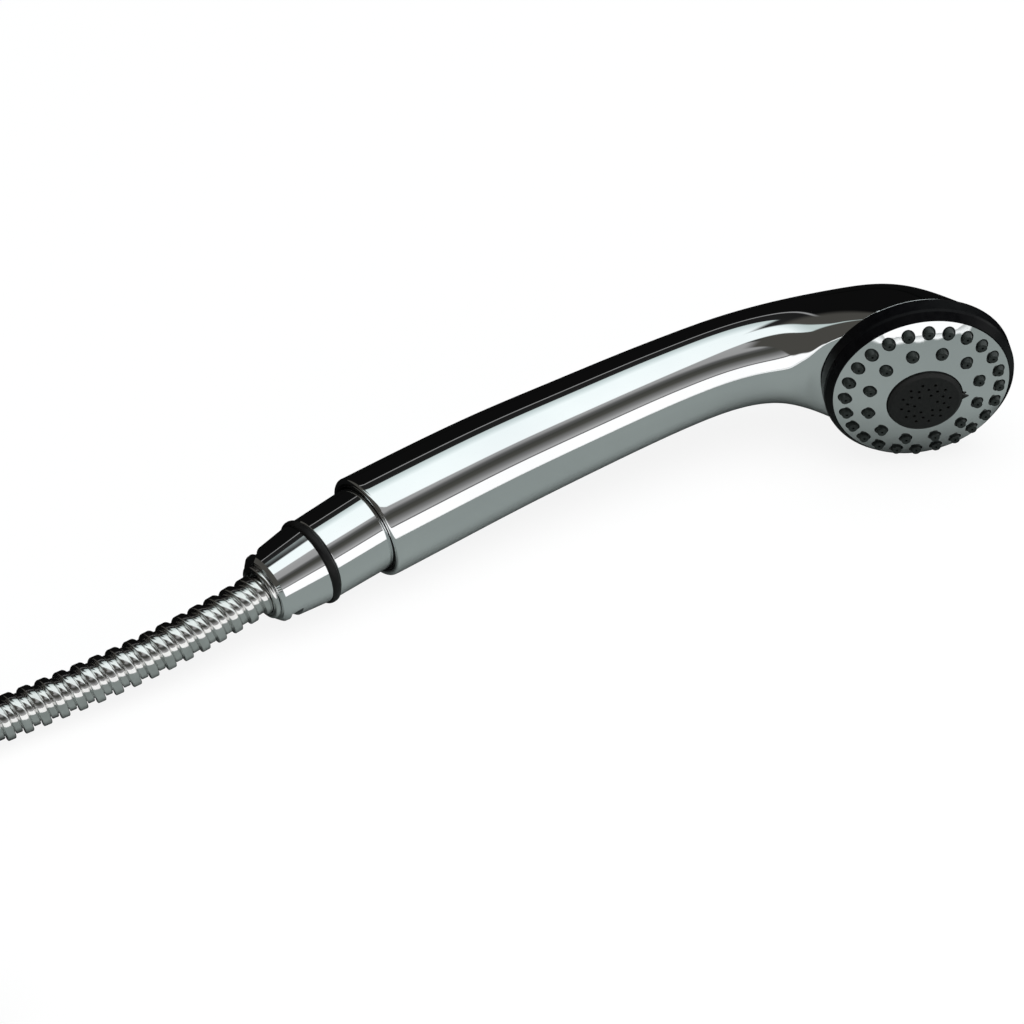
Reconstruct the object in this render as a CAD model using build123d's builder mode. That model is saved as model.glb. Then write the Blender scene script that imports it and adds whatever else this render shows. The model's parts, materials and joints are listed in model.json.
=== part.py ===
from build123d import *
from math import asin, cos, degrees, pi, radians, sin, sqrt, tan
import os

# Handheld shower head with its metal hose, in millimetres.
# It lies on its side: +X runs along the handle from the hose to the head, the spray face looks to -Y and a
# little back towards the hose, and the rim of the handle and the ring of the head both rest on Z = 0.
# Places along the handle are measured from the wide end of its swivel collar: "along" on the handle's axis
# towards the head, and "across" towards the side that the spray face looks to. Depths in the head are
# measured back from the edge of the face plate, so that what stands out in front of it has a negative depth.

# ---- Driving dimensions --------------------------------------------------------------------------------
handle_rim_radius = 17.5      # the open lower end of the handle
rim_overhang = 1.8            # how far the rim reaches down over the collar
shell_wall = 2.2              # chrome-plated plastic
plate_radius = 29.2           # the domed face plate
ring_radius = 31.6            # the grip ring round the face plate
ring_depth = 8.8              # from the face plate's edge back to the handle shell
ring_land_depth = 3.4         # where the ring reaches its full radius
head_along = 171.6            # centre of the face plate's edge, from the end of the collar
head_across = 73.0
face_turn = 122.0             # from the handle's direction to the way the face looks
crown_height = 6.8            # how far the face plate domes out
hose_diameter = 14.0
thread_radius = 10.48         # G 1/2 external thread, over its crests
thread_core_radius = 9.32     # G 1/2 internal thread, at its crests
running_gap = 0.05            # radial clearance of what turns in a bore

# The rim and the ring touch the surface together, which tips the handle's axis up towards the head.
ring_rest_along = head_along - cos(radians(face_turn)) * ring_land_depth
tilt_sin = 0.0
for refinement in range(5):
    ring_reach = ring_radius * sqrt(1 - (cos(radians(face_turn)) * tilt_sin) ** 2)
    rim_reach = handle_rim_radius * sqrt(1 - tilt_sin**2)
    tilt_sin = (ring_reach - rim_reach) / (ring_rest_along + rim_overhang)
rim_x = -78.88                # puts the origin under the middle of the handset
rim_y = 36.16

# ---- Planes --------------------------------------------------------------------------------------------
tilt_cos = sqrt(1 - tilt_sin**2)
rim_height = handle_rim_radius * tilt_cos + rim_overhang * tilt_sin
# The handset's plane of symmetry: local x is "along", and local y is "across" with its sign turned.
symmetry_plane = Plane(
    origin=(rim_x, rim_y, rim_height),
    x_dir=(tilt_cos, 0, tilt_sin),
    z_dir=(-tilt_sin, 0, tilt_cos),
)
handle_axis = Axis(symmetry_plane.origin, symmetry_plane.x_dir)


def place(along, across, up=0.0):
    """A point given by its place along and across the handset, and above its plane of symmetry."""
    return symmetry_plane.from_local_coords(Vector(along, -across, up))


def heading(turn):
    """The direction that is turned from the handle's axis towards the face by so many degrees."""
    tip = place(cos(radians(turn)), sin(radians(turn)))
    return tip - symmetry_plane.origin


def station(along, across, turn):
    """A plane across the handset at one place, looking in the direction of that turn."""
    return Plane(origin=place(along, across), x_dir=symmetry_plane.z_dir, z_dir=heading(turn))


head_centre = place(head_along, head_across)
head_normal = heading(face_turn)
head_axis = Axis(head_centre, head_normal)
# Half sections of what is round about the head's axis: local x is the radius and local y is the depth.
head_section = Plane(origin=head_centre, x_dir=symmetry_plane.z_dir, z_dir=heading(face_turn + 90))
# The face seen from the front: local x is +Z of the handset.
face_plane = Plane(origin=head_centre, x_dir=symmetry_plane.z_dir, z_dir=head_normal)


def at_depth(depth):
    """A plane square to the head's axis, at a depth behind the face plate's edge."""
    return face_plane.offset(-depth)


def outline(*points):
    """Fills a closed outline, inside a sketch."""
    Polygon(*points, align=None)


def sleeve(start, end, outer, inner):
    """A plain ring's half section between two places on an axis, inside a sketch."""
    outline((start, inner), (end, inner), (end, outer), (start, outer))


def disc_ring(front, back, outer, inner):
    """A plain ring's half section between two depths in the head, inside a sketch."""
    outline((inner, front), (inner, back), (outer, back), (outer, front))


# ---- Handle shell --------------------------------------------------------------------------------------
# One hollow piece from the rim to the back of the head: round sections along a curving line.
# Each is along, across, turn and radius.
shell_stations = [
    (-rim_overhang, 0.0, 1, handle_rim_radius),
    (25, 2.5, 5, 17.35),
    (50, 5.3, 8, 16.95),
    (75, 9.1, 9, 16.3),
    (100, 13.2, 11, 15.75),
    (120, 17.2, 14, 15.4),
    (135.9, 21.7, 20, 15.6),
    (150.7, 29.2, 40, 17.2),
    (159.7, 35.6, 65, 20.0),
    (170.6, 46.6, 90, 25.4),
    (174.6, 58.2, 112, 28.6),
]
shell_end_along = head_along - cos(radians(face_turn)) * ring_depth
shell_end_across = head_across - sin(radians(face_turn)) * ring_depth
shell_end_radius = 30.6
shell_stations.append((shell_end_along, shell_end_across, face_turn, shell_end_radius))


# Each pair of neighbouring stations makes one stretch of the shell and of its hollow.
stretches = list(zip(shell_stations, shell_stations[1:]))
with BuildPart() as handle_shell:
    for stretch in stretches:
        for along, across, turn, radius in stretch:
            with BuildSketch(station(along, across, turn)):
                Circle(radius)
        loft()
    for stretch in stretches:
        for along, across, turn, radius in stretch:
            with BuildSketch(station(along, across, turn)):
                Circle(radius - shell_wall)
        loft(mode=Mode.SUBTRACT)
handle_shell.part.label = "handle_shell"

# ---- Swivel collar at the handle's rim -----------------------------------------------------------------
collar_start = -22.2          # lower end of the tapered collar
collar_end = 3.0              # inside the handle
spigot_end = -34.0            # end of the threaded spigot
stem_end = 25.0
stem_radius = 9.0
collar_bore_radius = 5.0
valve_bore_radius = 7.6
valve_bore_end = -8.0
groove_depth = 1.3
o_ring_places = (9.0, 15.0)
o_ring_section = 0.65        # radius of the ring's own section
circlip_place = 21.5
circlip_width = 1.2

with BuildPart() as swivel_collar:
    with BuildSketch(symmetry_plane):
        outline(
            (spigot_end, valve_bore_radius),
            (valve_bore_end, valve_bore_radius),
            (valve_bore_end, collar_bore_radius),
            (stem_end, collar_bore_radius),
            (stem_end, stem_radius),
            (collar_end, stem_radius),
            (collar_end, 14.4),
            (0, 14.5),
            (collar_start + 0.6, 13.9),
            (collar_start, 13.4),
            (collar_start, thread_radius),
            (spigot_end + 0.8, thread_radius),
            (spigot_end, thread_radius - 0.8),
        )
        for groove in o_ring_places:
            with Locations((groove, stem_radius)):
                Rectangle(2 * o_ring_section + 0.5, 2 * groove_depth, mode=Mode.SUBTRACT)
        with Locations((circlip_place, stem_radius)):
            Rectangle(circlip_width + 0.1, 2 * groove_depth, mode=Mode.SUBTRACT)
    revolve(axis=handle_axis)
swivel_collar.part.label = "swivel_collar"

# A black lip inside the rim keeps dirt out of the gap round the collar.
with BuildPart() as rim_seal:
    with BuildSketch(symmetry_plane):
        sleeve(-1.0, 0.8, 15.0, 14.6)
    revolve(axis=handle_axis)
rim_seal.part.label = "rim_seal"

# The two O-rings fill the gap between the stem's grooves and the inlet body's bore.
with BuildPart() as stem_o_rings:
    with BuildSketch(symmetry_plane):
        with Locations(*[(groove, stem_radius - groove_depth + o_ring_section) for groove in o_ring_places]):
            Circle(o_ring_section)
    revolve(axis=handle_axis)
stem_o_rings.part.label = "stem_o_rings"

inlet_start = 4.0
inlet_end = 34.0
inlet_radius = 14.5
inlet_recess_radius = 10.9    # room for the circlip behind the bore
bore_end = 20.4
tube_radius = 6.0
tube_bore_radius = 4.6
tube_start = 28.0

with BuildPart() as inlet_body:
    with BuildSketch(symmetry_plane):
        outline(
            (inlet_start, stem_radius + running_gap),
            (bore_end, stem_radius + running_gap),
            (bore_end, inlet_recess_radius),
            (stem_end + 1, inlet_recess_radius),
            (stem_end + 1, tube_bore_radius),
            (tube_start, tube_bore_radius),
            (tube_start, tube_radius),
            (inlet_end, tube_radius),
            (inlet_end, 11.2),
            (16.0, 12.9),
            (inlet_start + 1, inlet_radius),
            (inlet_start, inlet_radius),
        )
    revolve(axis=handle_axis)
inlet_body.part.label = "inlet_body"

# An open snap ring in the stem's last groove stops the collar from pulling out.
with BuildPart() as stem_circlip:
    with BuildSketch(symmetry_plane):
        sleeve(circlip_place - circlip_width / 2, circlip_place + circlip_width / 2, 10.4, 7.8)
    revolve(axis=handle_axis, revolution_arc=320)
stem_circlip.part.label = "stem_circlip"

# ---- Check valve and flow limiter in the collar's bore --------------------------------------------------
valve_start = -30.0
valve_end = valve_bore_end
valve_seat_place = -24.0
valve_seat_radius = 4.2
valve_guide_radius = 1.5
poppet_stem_radius = valve_guide_radius - running_gap
poppet_radius = 5.0
poppet_travel = 2.5

with BuildPart() as valve_body:
    with BuildSketch(symmetry_plane):
        outline(
            (valve_start, valve_seat_radius),
            (valve_seat_place, valve_seat_radius),
            (valve_seat_place + 1, 6.6),
            (valve_end, 6.6),
            (valve_end, valve_bore_radius),
            (valve_start, valve_bore_radius),
        )
    revolve(axis=handle_axis)
    # Three ribs carry the poppet's guide.
    guide_plane = Plane(origin=place(valve_end - 3, 0), x_dir=symmetry_plane.z_dir, z_dir=heading(0))
    with BuildSketch(guide_plane):
        Circle(2.6)
        with PolarLocations(4.3, 3):
            Rectangle(4.8, 1.4)
        Circle(valve_guide_radius, mode=Mode.SUBTRACT)
    extrude(amount=3)
valve_body.part.label = "valve_body"

with BuildPart() as valve_poppet:
    with BuildSketch(symmetry_plane):
        outline(
            (valve_seat_place + 0.3, 0),
            (valve_seat_place + 0.3, 3.0),
            (valve_seat_place + 1.3, poppet_radius),
            (valve_seat_place + 3.3, poppet_radius),
            (valve_seat_place + 3.3, poppet_stem_radius),
            (valve_end - 0.6, poppet_stem_radius),
            (valve_end - 0.6, 0),
        )
    revolve(axis=handle_axis)
valve_poppet.part.label = "valve_poppet"

spring_start = valve_seat_place + 3.3
spring_end = valve_end - 3.0
spring_radius = 3.2
spring_wire_radius = 0.3
spring_turns = 4

spring_height = spring_end - spring_start - 2.5 * spring_wire_radius
with BuildPart() as valve_spring:
    with BuildLine() as spring_line:
        Helix(
            pitch=spring_height / spring_turns,
            height=spring_height,
            radius=spring_radius,
            center=place(spring_start + 1.25 * spring_wire_radius, 0),
            direction=heading(0),
        )
    with BuildSketch(Plane(origin=spring_line.line @ 0, z_dir=spring_line.line % 0)):
        Circle(spring_wire_radius)
    sweep(is_frenet=True)
valve_spring.part.label = "valve_spring"

# A disc with one small hole and a ring of slots limits the flow.
with BuildPart() as flow_limiter:
    limiter_plane = Plane(origin=place(spigot_end, 0), x_dir=symmetry_plane.z_dir, z_dir=heading(0))
    with BuildSketch(limiter_plane):
        Circle(valve_bore_radius - 0.02)
        Circle(1.2, mode=Mode.SUBTRACT)
        with PolarLocations(4.6, 6):
            Circle(0.8, mode=Mode.SUBTRACT)
    extrude(amount=valve_start - spigot_end)
flow_limiter.part.label = "flow_limiter"

# ---- Hose end at the handle ----------------------------------------------------------------------------
collar_ring_width = 3.0
collar_ring_radius = 15.0
nut_start = collar_start - collar_ring_width - 0.1
nut_end = -42.0
nut_wide_radius = 13.7
nut_narrow_radius = 11.7
nut_round = 1.2
nut_relief_radius = 10.1      # round the washer and the tail's flange
notch_distance = 11.0         # from the axis to the floor of each spanner notch
notch_start = 2.2             # from the nut's narrow end
notch_length = 4.0
notch_angle = -50.0           # round the axis, from the top
tail_hole_radius = 8.9
shoulder_place = -38.2
washer_thickness = 2.0
tail_flange = 2.0
hose_start = -40.0
sleeve_lip = -43.6

with BuildPart() as collar_ring:
    with BuildSketch(symmetry_plane):
        sleeve(collar_start - collar_ring_width, collar_start, collar_ring_radius, thread_radius)
    revolve(axis=handle_axis)
    fillet(collar_ring.edges().group_by(SortBy.LENGTH)[-1], 1.0)
collar_ring.part.label = "collar_ring"

with BuildPart() as hose_nut:
    with BuildSketch(symmetry_plane):
        outline(
            (nut_start, thread_radius + running_gap),
            (spigot_end - 0.2, thread_radius + running_gap),
            (spigot_end - 0.2, nut_relief_radius),
            (shoulder_place, nut_relief_radius),
            (shoulder_place, tail_hole_radius),
            (nut_end, tail_hole_radius),
            (nut_end, nut_narrow_radius - nut_round),
            (nut_end + nut_round, nut_narrow_radius),
            (nut_start, nut_wide_radius),
        )
    revolve(axis=handle_axis)
    # Two short notches, one on each side, for a spanner.
    notch_plane = Plane(origin=place(nut_end + notch_start, 0), x_dir=symmetry_plane.z_dir, z_dir=heading(0))
    with BuildSketch(notch_plane):
        with PolarLocations(notch_distance, 2, start_angle=notch_angle):
            Rectangle(nut_wide_radius, 2 * nut_wide_radius, align=(Align.MIN, Align.CENTER))
    extrude(amount=notch_length, mode=Mode.SUBTRACT)
hose_nut.part.label = "hose_nut"

with BuildPart() as hose_washer:
    with BuildSketch(symmetry_plane):
        sleeve(spigot_end - washer_thickness, spigot_end, 9.9, 5.5)
    revolve(axis=handle_axis)
hose_washer.part.label = "hose_washer"

with BuildPart() as hose_tail:
    with BuildSketch(symmetry_plane):
        tail_face = spigot_end - washer_thickness
        sleeve(tail_face - tail_flange, tail_face, 10.0, 4.5)
        sleeve(hose_start, tail_face - tail_flange, 6.5, 4.5)
    revolve(axis=handle_axis)
hose_tail.part.label = "hose_tail"

with BuildPart() as hose_sleeve:
    with BuildSketch(symmetry_plane):
        sleeve(sleeve_lip, tail_face - tail_flange, 8.6, 7.2)
        with Locations((sleeve_lip + 0.7, 8.5)):
            Circle(0.9)
    revolve(axis=handle_axis)
hose_sleeve.part.label = "hose_sleeve"

# ---- Head ----------------------------------------------------------------------------------------------
dome_radius = (plate_radius**2 + crown_height**2) / (2 * crown_height)


def dome_depth(radius):
    """The depth of the face plate's front at a distance from the head's axis."""
    return dome_radius - crown_height - sqrt(dome_radius**2 - radius**2)


plate_skin = 1.0
plate_bore = 12.7
mat_skin = 1.2
mat_inner_radius = 12.9
mat_outer_radius = 28.0
hole_radius = 2.25
# Rings of nozzles: their number, distance from the head's axis and first angle.
nozzle_rings = ((24, 25.6, 11.3), (12, 18.7, 12.3))
nozzle_base_radius = 2.0
nozzle_tip_radius = 1.5
nozzle_stand_out = 1.3
nozzle_outlet_radius = 0.4
hub_radius = 11.2
hub_front = -3.3
web_front = 3.4
web_back = 5.0
turning_clearance = 0.3

with BuildPart() as face_plate:
    with BuildSketch(head_section):
        middle = (plate_bore + plate_radius) / 2
        with BuildLine():
            front = ThreePointArc(
                (plate_bore, dome_depth(plate_bore)), (middle, dome_depth(middle)), (plate_radius, 0)
            )
            Line(front @ 1, (plate_radius, plate_skin))
            back = ThreePointArc(
                (plate_radius, plate_skin),
                (middle, dome_depth(middle) + plate_skin),
                (plate_bore, dome_depth(plate_bore) + plate_skin),
            )
            Line(back @ 1, front @ 0)
        make_face()
    revolve(axis=head_axis)
    with BuildSketch(at_depth(3)):
        for count, distance, first in nozzle_rings:
            with PolarLocations(distance, count, start_angle=first):
                Circle(hole_radius)
    extrude(amount=crown_height + 6, mode=Mode.SUBTRACT)
face_plate.part.label = "face_plate"

# One rubber mat behind the plate carries all the nozzles.
with BuildPart() as nozzle_mat:
    with BuildSketch(head_section):
        middle = (mat_inner_radius + mat_outer_radius) / 2
        with BuildLine():
            front = ThreePointArc(
                (mat_inner_radius, dome_depth(mat_inner_radius) + plate_skin),
                (middle, dome_depth(middle) + plate_skin),
                (mat_outer_radius, dome_depth(mat_outer_radius) + plate_skin),
            )
            Line(front @ 1, front @ 1 + (0, mat_skin))
            back = ThreePointArc(
                front @ 1 + (0, mat_skin), front @ 0.5 + (0, mat_skin), front @ 0 + (0, mat_skin)
            )
            Line(back @ 1, front @ 0)
        make_face()
    revolve(axis=head_axis)
    for count, distance, first in nozzle_rings:
        nozzle_base = at_depth(dome_depth(distance) + plate_skin + mat_skin / 2)
        nozzle_height = plate_skin + mat_skin / 2 + nozzle_stand_out
        with BuildSketch(nozzle_base):
            with PolarLocations(distance, count, start_angle=first):
                Circle(nozzle_base_radius)
        extrude(
            amount=nozzle_height,
            taper=degrees(asin((nozzle_base_radius - nozzle_tip_radius) / nozzle_height)),
        )
        with BuildSketch(nozzle_base.offset(-2)):
            with PolarLocations(distance, count, start_angle=first):
                Circle(nozzle_outlet_radius)
        extrude(amount=nozzle_height + 4, mode=Mode.SUBTRACT)
nozzle_mat.part.label = "nozzle_mat"

# The grip ring turns the spray face. Its web closes the spray chamber behind the nozzle mat.
web_port_radius = 1.5
port_distance = 13.0
with BuildPart() as grip_ring:
    with BuildSketch(head_section):
        outline(
            (hub_radius + running_gap, web_back),
            (hub_radius + running_gap, hub_front + turning_clearance),
            (12.5, hub_front + turning_clearance),
            (12.5, web_front),
            (mat_outer_radius + 0.1, web_front),
            (mat_outer_radius + 0.1, plate_skin),
            (plate_radius + 0.05, plate_skin),
            (plate_radius + 0.05, 0.2),
            (plate_radius + 0.35, 0.2),
            (ring_radius - 0.3, 2.4),
            (ring_radius, ring_land_depth),
            (ring_radius, ring_depth - turning_clearance - 0.5),
            (ring_radius - 0.5, ring_depth - turning_clearance),
            (mat_outer_radius, ring_depth - turning_clearance),
            (mat_outer_radius, web_back),
        )
    revolve(axis=head_axis)
    with BuildSketch(at_depth(web_back + 1)):
        with PolarLocations(port_distance + 2.0, 12):
            Circle(web_port_radius)
    extrude(amount=4, mode=Mode.SUBTRACT)
grip_ring.part.label = "grip_ring"

core_front = web_back + turning_clearance
core_flange_front = 8.2
core_flange_back = 9.8
core_boss_back = 11.5
chamber_front = 7.3
hub_floor = 4.5
face_seal_inner = 21.2
face_seal_outer = 22.8
face_seal_back = 6.3
cover_seal_inner = 15.5
cover_seal_outer = 16.9
cover_seal_front = 10.2
screw_distance = 18.6
screw_radius = 0.8
screw_angles = (-90, 30, 150)
with BuildPart() as distribution_core:
    with BuildSketch(head_section):
        outline(
            (1.6, hub_front),
            (3.2, hub_front),
            (3.2, hub_floor),
            (10.0, hub_floor),
            (10.0, hub_front),
            (hub_radius, hub_front),
            (hub_radius, core_front),
            (face_seal_inner, core_front),
            (face_seal_inner, face_seal_back),
            (face_seal_outer, face_seal_back),
            (face_seal_outer, core_front),
            (24.0, core_front),
            (24.0, core_flange_front),
            (26.9, core_flange_front),
            (26.3, core_flange_back),
            (20.5, core_flange_back),
            (20.5, core_boss_back),
            (cover_seal_outer, core_boss_back),
            (cover_seal_outer, cover_seal_front),
            (cover_seal_inner, cover_seal_front),
            (cover_seal_inner, core_boss_back),
            (14.6, core_boss_back),
            (14.6, chamber_front),
            (1.6, chamber_front),
        )
    revolve(axis=head_axis)
    # Water ways to the centre jets, and three ports to the nozzles.
    with BuildSketch(at_depth(chamber_front + 1)):
        with PolarLocations(6.6, 6):
            Circle(1.5)
        with PolarLocations(port_distance, 3):
            Circle(1.3)
    extrude(amount=chamber_front - core_front + 2.5, mode=Mode.SUBTRACT)
    with BuildSketch(at_depth(face_seal_back)):
        with PolarLocations(port_distance, 3):
            Circle(1.75)
    extrude(amount=2, mode=Mode.SUBTRACT)
    with BuildSketch(at_depth(core_boss_back + 1)):
        for angle in screw_angles:
            with PolarLocations(screw_distance, 1, start_angle=angle):
                Circle(screw_radius)
    extrude(amount=2.5, mode=Mode.SUBTRACT)
distribution_core.part.label = "distribution_core"

with BuildPart() as face_seal:
    with BuildSketch(head_section):
        disc_ring(web_back + running_gap, face_seal_back, face_seal_outer, face_seal_inner)
    revolve(axis=head_axis)
face_seal.part.label = "face_seal"

with BuildPart() as port_seals:
    with BuildSketch(at_depth(face_seal_back)):
        with PolarLocations(port_distance, 3):
            Circle(1.7)
            Circle(1.3, mode=Mode.SUBTRACT)
    extrude(amount=face_seal_back - web_back - running_gap)
port_seals.part.label = "port_seals"

with BuildPart() as cover_seal:
    with BuildSketch(head_section):
        seal_radius = (core_boss_back - cover_seal_front) / 2
        with Locations(((cover_seal_inner + cover_seal_outer) / 2, core_boss_back - seal_radius)):
            Circle(seal_radius)
    revolve(axis=head_axis)
cover_seal.part.label = "cover_seal"

# The cover is a cup on the back of the core, with a side inlet for the water tube.
cover_flange_back = 13.5
cover_end = 27.0
inlet_depth = 21.0
nipple_radius = 7.4
nipple_end = 20.0
tube_stop = 14.5
across_head = heading(face_turn - 90)
with BuildPart() as core_cover:
    with BuildSketch(head_section):
        outline(
            (0, cover_end),
            (0, cover_end - 1.5),
            (7.5, cover_end - 1.5),
            (9.5, cover_end - 3.5),
            (9.5, core_boss_back),
            (20.5, core_boss_back),
            (20.5, cover_flange_back),
            (11.5, cover_flange_back),
            (11.5, cover_end - 3),
            (8.5, cover_end),
        )
    revolve(axis=head_axis)
    inlet_centre = head_centre - head_normal * inlet_depth
    nipple_plane = Plane(origin=inlet_centre - across_head * nipple_end, z_dir=across_head)
    with BuildSketch(nipple_plane):
        Circle(nipple_radius)
    extrude(amount=nipple_end - 10.0)
    with BuildSketch(nipple_plane):
        Circle(tube_radius)
    extrude(amount=nipple_end - tube_stop, mode=Mode.SUBTRACT)
    with BuildSketch(nipple_plane):
        Circle(tube_bore_radius)
    extrude(amount=nipple_end - 4.0, mode=Mode.SUBTRACT)
    with BuildSketch(at_depth(cover_flange_back + 1)):
        for angle in screw_angles:
            with PolarLocations(screw_distance, 1, start_angle=angle):
                Circle(screw_radius + 0.1)
    extrude(amount=4, mode=Mode.SUBTRACT)
core_cover.part.label = "core_cover"

with BuildPart() as cover_screws:
    with BuildSketch(at_depth(cover_flange_back)):
        for angle in screw_angles:
            with PolarLocations(screw_distance, 1, start_angle=angle):
                Circle(screw_radius)
    extrude(amount=3.4)
    with BuildSketch(at_depth(cover_flange_back + 1.2)):
        for angle in screw_angles:
            with PolarLocations(screw_distance, 1, start_angle=angle):
                Circle(1.6)
    extrude(amount=1.2)
cover_screws.part.label = "cover_screws"

# A spring leaf in the gap behind the ring's web, with a bump that clicks into each spray setting.
with BuildPart() as click_spring:
    with BuildSketch(at_depth(core_flange_front)):
        Circle(26.7)
        Circle(24.7, mode=Mode.SUBTRACT)
        Rectangle(80, 40, align=(Align.CENTER, Align.MAX), mode=Mode.INTERSECT)
        Rectangle(36, 80, mode=Mode.INTERSECT)
    extrude(amount=0.6)
    with BuildSketch(at_depth(core_flange_front - 0.6)):
        with Locations((0, -25.7)):
            Circle(0.9)
    extrude(amount=2.0)
click_spring.part.label = "click_spring"

# Centre disc with the massage jets and a small pointer.
disc_radius = 12.3
disc_edge_depth = dome_depth(plate_bore) - 0.5
disc_crown = -crown_height - 0.9
jet_rings = ((12, 8.1, 8.0), (12, 6.1, 22.5), (6, 3.8, 35.0))
jet_radius = 0.5
with BuildPart() as jet_disc:
    with BuildSketch(head_section):
        with BuildLine():
            disc_top = ThreePointArc((0, disc_crown), (5.5, disc_crown + 0.15), (11.2, disc_crown + 0.6))
            Polyline(
                disc_top @ 1,
                (disc_radius, disc_edge_depth - 0.3),
                (disc_radius, hub_front),
                (10.1, hub_front),
                (9.7, disc_crown + 2.2),
                (3.2, disc_crown + 2.2),
                (3.2, hub_front),
                (1.55, hub_front),
                (1.55, disc_crown + 2.0),
                (0, disc_crown + 2.0),
                disc_top @ 0,
            )
        make_face()
    revolve(axis=head_axis)
    with BuildSketch(at_depth(disc_edge_depth + 0.2)):
        with Locations((0, -disc_radius + 0.8)):
            Polygon((-1.5, 0), (1.5, 0), (0, -2.9), align=None)
    extrude(amount=0.6)
    with BuildSketch(at_depth(0)):
        for count, distance, first in jet_rings:
            with PolarLocations(distance, count, start_angle=first):
                Circle(jet_radius)
    extrude(amount=-disc_crown + 1, mode=Mode.SUBTRACT)
jet_disc.part.label = "jet_disc"

with BuildPart() as centre_screw:
    with BuildSketch(at_depth(chamber_front)):
        Circle(1.5)
    extrude(amount=chamber_front - disc_crown - 2.1)
    with BuildSketch(at_depth(chamber_front + 2)):
        Circle(2.8)
    extrude(amount=2)
centre_screw.part.label = "centre_screw"

# Water tube from the inlet body to the core's side inlet, round the bend of the handle.
tube_end = inlet_centre - across_head * tube_stop
tube_route = [place(tube_start, 0), place(62, 0), place(112, 13.6), tube_end - across_head * 30, tube_end]


def corner_radii(route, share=0.45):
    """For each inner point of a route, the largest tangent arc that its two runs have room for."""
    radii = []
    for before, corner, after in zip(route, route[1:], route[2:]):
        run_in = corner - before
        run_out = after - corner
        half_turn = radians(run_in.get_angle(run_out)) / 2
        radii.append(share * min(run_in.length, run_out.length) / tan(half_turn))
    return radii


with BuildPart() as water_tube:
    with BuildLine() as tube_line:
        FilletPolyline(*tube_route, radius=[0.8 * radius for radius in corner_radii(tube_route)])
    with BuildSketch(Plane(origin=tube_line.line @ 0, z_dir=tube_line.line % 0)):
        Circle(tube_radius)
        Circle(tube_bore_radius, mode=Mode.SUBTRACT)
    sweep()
water_tube.part.label = "water_tube"

# ---- Hose ----------------------------------------------------------------------------------------------
# The hose leaves the nut on the handle's axis, comes down to the surface, and is put away in a tied coil.
hose_radius = hose_diameter / 2
tie_skin = 0.7                # the coil lies on its tie
coil_height = hose_radius + tie_skin
coil_radius = 70.0            # ten diameters across at the middle of its turns
coil_centre = (rim_x - 275, rim_y - 57)
coil_layer = hose_diameter + 0.2
end_angle = -28.0             # where the coil ends in the far fitting
hose_route = [
    place(hose_start, 0),
    place(-62, 0),
    Vector(rim_x - 88, rim_y + 2.4, 10.2),
    Vector(rim_x - 114, rim_y + 7.0, 8.2),
    Vector(rim_x - 140, rim_y + 11.6, 7.2),
    Vector(rim_x - 168, rim_y + 13.6, 7.0),
    Vector(rim_x - 204, rim_y + 14.0, 7.1),
    Vector(rim_x - 240, rim_y + 13.4, 7.4),
    Vector(coil_centre[0], coil_centre[1] + coil_radius, coil_height),
]
hose_radii = corner_radii(hose_route)
print("hose radii in diameters:", [round(radius / hose_diameter, 1) for radius in hose_radii])

with BuildPart() as hose:
    with BuildLine() as hose_line:
        FilletPolyline(*hose_route, radius=hose_radii)
    with BuildSketch(Plane(origin=hose_line.line @ 0, z_dir=hose_line.line % 0)):
        Circle(hose_radius)
    sweep()
hose.part.label = "hose"
straight_volume = pi * hose_radius**2 * sum(edge.length for edge in hose_line.edges())
print("hose volume over its section times its length:", round(hose.part.volume / straight_volume, 4))

# The coil fills two layers all round and most of a third one, which leaves room for the far fitting.
top_layer_start = 20.0
top_layer_arc = 360 - top_layer_start + end_angle - 5
coil_corner = 4.0
coil_axis = Axis((coil_centre[0], coil_centre[1], 0), (0, 0, 1))


def coil_section(angle):
    """The upright plane through the coil's axis at an angle round it: local x is the radius."""
    turn = radians(angle)
    outwards = (cos(turn), sin(turn), 0)
    return Plane(origin=coil_axis.position, x_dir=outwards, z_dir=(sin(turn), -cos(turn), 0))


def coil_outline(bottom, height):
    """The rounded section that the turns fill from one height up, inside a sketch."""
    with Locations((coil_radius, bottom)):
        RectangleRounded(hose_diameter, height, coil_corner, align=(Align.CENTER, Align.MIN))


with BuildPart() as hose_coil:
    with BuildSketch(coil_section(0)):
        coil_outline(tie_skin, coil_layer + hose_diameter)
    revolve(axis=coil_axis)
hose_coil.part.label = "hose_coil"

with BuildPart() as hose_coil_top:
    with BuildSketch(coil_section(top_layer_start)):
        coil_outline(tie_skin + 2 * coil_layer, hose_diameter)
    revolve(axis=coil_axis, revolution_arc=top_layer_arc)
hose_coil_top.part.label = "hose_coil_top"

tie_width = 12.0
coil_top = tie_skin + 2 * coil_layer + hose_diameter
tie_plane = Plane(
    origin=(coil_centre[0], coil_centre[1] - tie_width / 2, 0), x_dir=(-1, 0, 0), z_dir=(0, 1, 0)
)
with BuildPart() as coil_tie:
    with BuildSketch(tie_plane):
        with Locations((coil_radius, 0)):
            RectangleRounded(
                hose_diameter + 2 * tie_skin + 1.0,
                coil_top + tie_skin + 0.2,
                4.5,
                align=(Align.CENTER, Align.MIN),
            )
        with Locations((coil_radius, tie_skin)):
            RectangleRounded(
                hose_diameter + 1.0, coil_top - tie_skin + 0.2, 4.0, align=(Align.CENTER, Align.MIN),
                mode=Mode.SUBTRACT,
            )
    extrude(amount=tie_width)
coil_tie.part.label = "coil_tie"

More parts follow.
